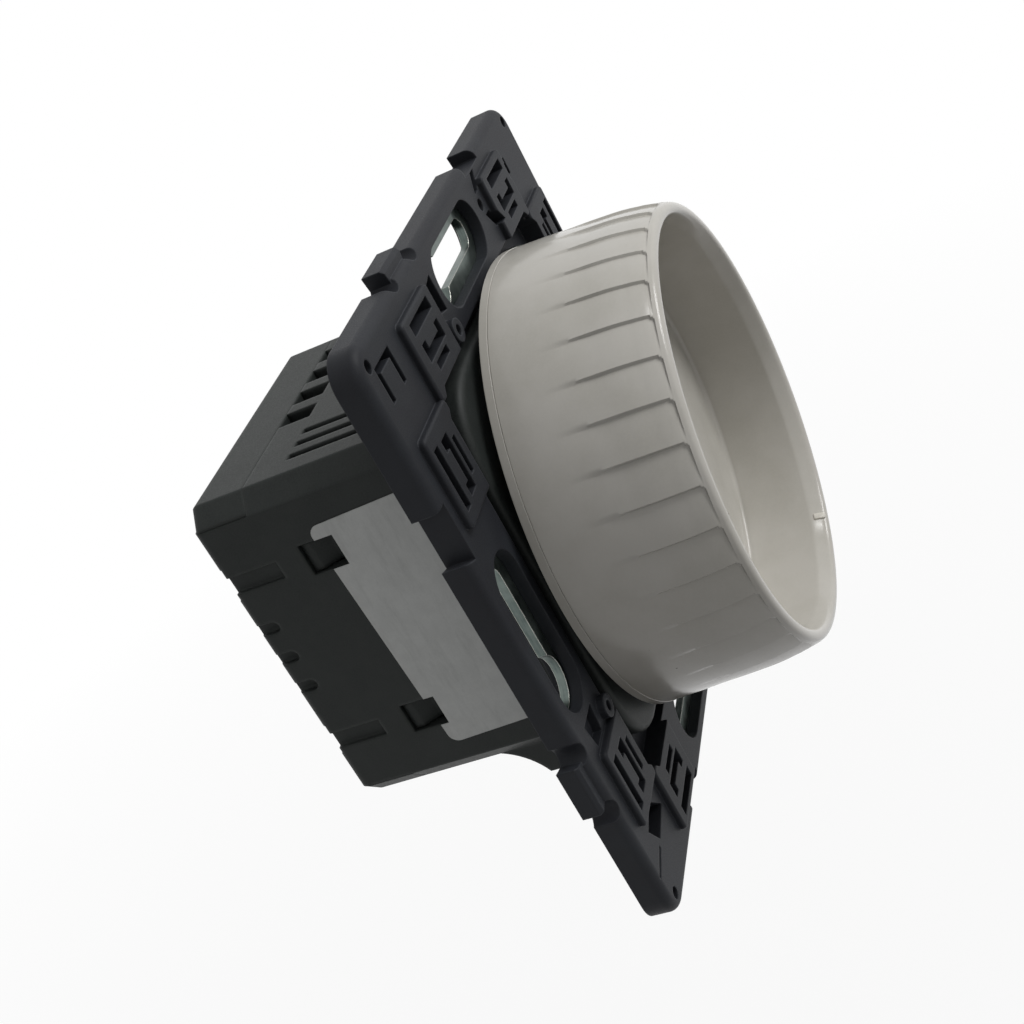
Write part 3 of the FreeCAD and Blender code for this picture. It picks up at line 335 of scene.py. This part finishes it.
# The knob's cap is a turned shell with flutes pressed into its skirt. Places are (radius, depth) in
# millimetres, and the front has the lowest depth. The outline runs from the middle behind the floor, round
# the wall, skirt and rim, to the middle of the cup.
dial = {
    "inside": [(0.0, -11.9), (12.0, -11.9), (24.95, -11.9), (24.95, -9.0), (24.95, -6.0)],
    "skirt": [(26.90, -6.0), (26.86, -7.0), (26.75, -9.5), (26.66, -11.0), (26.60, -12.0), (26.56, -13.0)],
    "curve": [(26.56, -13.0), (26.49, -15.0), (26.44, -16.0), (26.38, -17.0), (26.32, -18.0),
              (26.23, -19.0), (26.10, -20.0), (25.92, -21.0), (25.85, -21.5), (25.74, -22.0),
              (25.63, -22.5), (25.47, -23.0), (25.24, -23.5), (25.08, -23.8)],
    "rim": [(25.18, -23.66), (25.07, -23.82), (24.92, -23.95), (24.72, -24.04), (24.48, -24.09),
            (24.24, -24.08), (24.05, -24.03), (23.91, -23.92), (23.82, -23.77), (23.74, -23.55),
            (23.64, -23.2), (23.53, -22.8), (23.45, -22.5), (23.39, -22.25), (23.36, -21.95)],
    "cup": [(23.36, -20.0), (23.36, -17.0), (23.36, -14.45), (23.33, -14.25), (23.24, -14.08),
            (23.1, -13.97), (22.9, -13.92), (22.6, -13.9), (18.0, -13.9), (10.0, -13.9), (0.0, -13.9)],
    "columns": 504, "rows": 30, "rowsFrom": -13.4, "rowsTo": -23.55,  # round the cap and along the flutes
    "endRows": [-22.75, -22.9, -23.0, -23.1, -23.2, -23.25, -23.3, -23.35, -23.42],  # over their ends
    "flutes": 36, "turn": 4.5, "depth": 0.3, "bow": 0.9,
    "crowd": 1.25,  # draws the columns of points towards each step
    "fadeTo": -10.9, "fadeFrom": -17.0, "end": -23.3, "endRamp": 0.2,
    "corner": 0.16, "cornerDrop": 0.5,  # the round corner at the rim end: share of a flute, and depth
    "innermost": 25.0,  # a point within this radius is on the cup or its wall, and isn't pressed
    "rimFrom": -23.6,  # nor is a point in front of this depth, which is on the rim
    "sharp": 38,
}


def skirtRadius(y):
    # The skirt runs straight from each point of its curve to the next
    for (r0, y0), (r1, y1) in zip(dial["curve"], dial["curve"][1:]):
        if y1 <= y <= y0:
            return r0 + (r1 - r0) * (y - y0) / (y1 - y0)


def fluteDepth(share, y):
    # Deepest beside the step and rising to nothing at the next one, with a round corner at the rim end
    if y < dial["end"]:
        return 0.0
    fade = min(1.0, (dial["fadeTo"] - y) / (dial["fadeTo"] - dial["fadeFrom"]))
    fade = fade * fade * (3 - 2 * fade)
    near = max(0.0, 1 - share / dial["corner"])
    end = dial["end"] + dial["cornerDrop"] * near * near
    ramp = max(0.0, min(1.0, (y - end) / dial["endRamp"] + 0.5))
    return dial["depth"] * fade * ramp * (1 - share) ** dial["bow"]


def dialOutline():
    first, last, steps = dial["rowsFrom"], dial["rowsTo"], dial["rows"]
    depths = [first + (last - first) * k / steps for k in range(steps + 1)] + dial["endRows"]
    rows = [(skirtRadius(y), y) for y in sorted(depths, reverse=True)]
    return dial["inside"] + dial["skirt"] + rows + dial["rim"] + dial["cup"]


def pressFlutes(bm):
    # The columns of points are drawn towards each step and pressed in
    pitch = 2 * math.pi / dial["flutes"]
    for vert in bm.verts:
        y = vert.co.y / mm
        r = math.hypot(vert.co.x, vert.co.z) / mm
        onFlute = r > dial["innermost"] and dial["rimFrom"] < y < dial["fadeTo"]
        if onFlute:
            angle = math.atan2(vert.co.z, vert.co.x)
            share = ((angle - math.radians(dial["turn"])) / pitch) % 1.0
            drawn = share ** dial["crowd"]
            angle += (drawn - share) * pitch
            r -= fluteDepth(drawn, y)
            vert.co = (math.cos(angle) * r * mm, y * mm, math.sin(angle) * r * mm)


def makeDialCap():
    bm = bmesh.new()
    verts = [bm.verts.new((r * mm, y * mm, 0)) for r, y in dialOutline()]
    edges = [bm.edges.new(pair) for pair in zip(verts, verts[1:])]
    bmesh.ops.spin(bm, geom=verts + edges, cent=(0, 0, 0), axis=(0, 1, 0), angle=2 * math.pi,
                   steps=dial["columns"], use_merge=True, use_duplicate=False)
    pressFlutes(bm)
    return newPiece("fluted_cap", bm, "knob", "knob_plastic", "dial_cap", dial["sharp"])


# The mark is a small soft-edged inlay across the rim's inner slope, in millimetres and degrees
mark = {
    "length": 1.35, "width": 0.78, "thick": 0.24, "round": 0.11, "radius": 23.593, "depth": -23.274,
    "slope": -74.5, "turn": 61.0, "sharp": 60,
}


def makeMark():
    bm = bmesh.new()
    bmesh.ops.create_cube(bm, size=1.0)
    bmesh.ops.scale(bm, verts=bm.verts, vec=(mark["length"] * mm, mark["thick"] * mm, mark["width"] * mm))
    bmesh.ops.bevel(bm, geom=bm.edges[:], offset=mark["round"] * mm, segments=4, profile=0.5, material=-1,
                    affect="EDGES")
    bmesh.ops.rotate(bm, verts=bm.verts, cent=(0, 0, 0),
                     matrix=Matrix.Rotation(math.radians(mark["slope"]), 3, "Z"))
    bmesh.ops.translate(bm, verts=bm.verts, vec=(mark["radius"] * mm, mark["depth"] * mm, 0))
    bmesh.ops.rotate(bm, verts=bm.verts, cent=(0, 0, 0),
                     matrix=Matrix.Rotation(math.radians(mark["turn"]), 3, "Y"))
    return newPiece("rim_mark", bm, "knob", "mark_paint", "dial_mark", mark["sharp"])


cap = makeDialCap()
print("cap made:", len(cap.data.polygons), "faces")
makeMark()
print("mark made")


# Studio, in metres

floorPlan = {
    "drop": 0.16, "radius": 3.0, "segments": 96, "paper": "#fafafa", "bounce": "#8b8a8a", "rough": 0.9,
    "shadowShare": 0.2, "fadeFrom": 0.12, "fadeTo": 0.5,
}
softLight = 0.31  # the world's strength for all but what is seen directly or in a reflection
lamps = {  # power in watts
    "key": {"place": (0.14, -0.56, 0.56), "power": 4.1, "size": 0.35},
    "pane": {"place": (0.125, -0.23, 0.78), "power": 0.3, "size": 0.04},
}
# The camera's place and its right and up directions, fitted to the photo, with the lens in millimetres
photoView = {
    "lens": 58.33, "sensor": 36.0, "near": 0.01, "far": 20.0, "place": (-0.16096, -0.06595, 0.07708),
    "right": (0.1753, -0.8753, -0.4508), "up": (0.5237, -0.3049, 0.7955),
}


def seenDirectly(tree, path):
    # 1 for what the camera sees, also in metal or through glass
    seen = addNode(tree, "ShaderNodeMath", {
        0: path.outputs["Is Camera Ray"], 1: path.outputs["Is Glossy Ray"]}, operation="MAXIMUM").outputs[0]
    return addNode(tree, "ShaderNodeMath", {0: seen, 1: path.outputs["Is Transmission Ray"]},
                   operation="MAXIMUM").outputs[0]


def makePaper():
    # Matt background paper, pressed and uncoated: even white to the eye under the object's shadow, and
    # little light thrown back on the object from below
    mat = bpy.data.materials.new("uncoatedPaper")
    mat.use_nodes = True
    tree = mat.node_tree
    paper = tree.nodes["Principled BSDF"]
    paper.inputs["Roughness"].default_value = floorPlan["rough"]
    path = addNode(tree, "ShaderNodeLightPath")
    sheet = addNode(tree, "ShaderNodeMix", {
        0: path.outputs["Is Diffuse Ray"], 6: srgb(floorPlan["paper"]), 7: srgb(floorPlan["bounce"])},
        data_type="RGBA").outputs[2]
    tree.links.new(sheet, paper.inputs["Base Color"])
    place = addNode(tree, "ShaderNodeTexCoord").outputs["Object"]
    far = addNode(tree, "ShaderNodeVectorMath", {0: place}, operation="LENGTH").outputs["Value"]
    white = addNode(tree, "ShaderNodeMapRange", {
        "Value": far, "From Min": floorPlan["fadeFrom"], "From Max": floorPlan["fadeTo"],
        "To Min": 1 - floorPlan["shadowShare"], "To Max": 1.0}).outputs[0]
    share = addNode(tree, "ShaderNodeMath", {0: seenDirectly(tree, path), 1: white},
                    operation="MULTIPLY").outputs[0]
    glow = addNode(tree, "ShaderNodeEmission", {"Color": srgb("#ffffff"), "Strength": 1.0}).outputs[0]
    both = addNode(tree, "ShaderNodeMixShader", {0: share, 1: paper.outputs[0], 2: glow}).outputs[0]
    tree.links.new(both, tree.nodes["Material Output"].inputs["Surface"])
    return mat


def makeFloor():
    bm = bmesh.new()
    bmesh.ops.create_circle(bm, cap_ends=True, segments=floorPlan["segments"], radius=floorPlan["radius"])
    bmesh.ops.translate(bm, verts=bm.verts, vec=(0, 0, -floorPlan["drop"]))
    mesh = bpy.data.meshes.new("floor")
    bm.to_mesh(mesh)
    bm.free()
    mesh.materials.append(makePaper())
    floor = bpy.data.objects.new("floor", mesh)
    bpy.context.collection.objects.link(floor)


def makeWorld():
    world = bpy.data.worlds.new("studio")
    bpy.context.scene.world = world
    world.use_nodes = True
    tree = world.node_tree
    tree.nodes.clear()
    path = addNode(tree, "ShaderNodeLightPath")
    soft = addNode(tree, "ShaderNodeBackground", {"Color": srgb("#ffffff"), "Strength": softLight})
    white = addNode(tree, "ShaderNodeBackground", {"Color": srgb("#ffffff"), "Strength": 1.0})
    both = addNode(tree, "ShaderNodeMixShader", {
        0: seenDirectly(tree, path), 1: soft.outputs[0], 2: white.outputs[0]})
    addNode(tree, "ShaderNodeOutputWorld", {"Surface": both.outputs[0]})


def makeLamp(name, place, power, size):
    lamp = bpy.data.lights.new(name, "AREA")
    lamp.energy = power
    lamp.size = size
    obj = bpy.data.objects.new(name, lamp)
    bpy.context.collection.objects.link(obj)
    obj.location = place
    obj.rotation_euler = (-Vector(place)).to_track_quat("-Z", "Y").to_euler()


def makeCamera():
    cam = bpy.data.cameras.new("photoView")
    cam.sensor_width = photoView["sensor"]
    cam.lens = photoView["lens"]
    cam.clip_start = photoView["near"]
    cam.clip_end = photoView["far"]
    obj = bpy.data.objects.new("photoView", cam)
    bpy.context.collection.objects.link(obj)
    right = Vector(photoView["right"])
    up = Vector(photoView["up"])
    turn = Matrix((right, up, right.cross(up))).transposed().to_4x4()
    turn.translation = Vector(photoView["place"])
    obj.matrix_world = turn
    bpy.context.scene.camera = obj


makeFloor()
makeWorld()
for lampName, lamp in lamps.items():
    makeLamp(lampName, **lamp)
makeCamera()
bpy.context.scene.view_settings.view_transform = "Standard"
print("studio made")
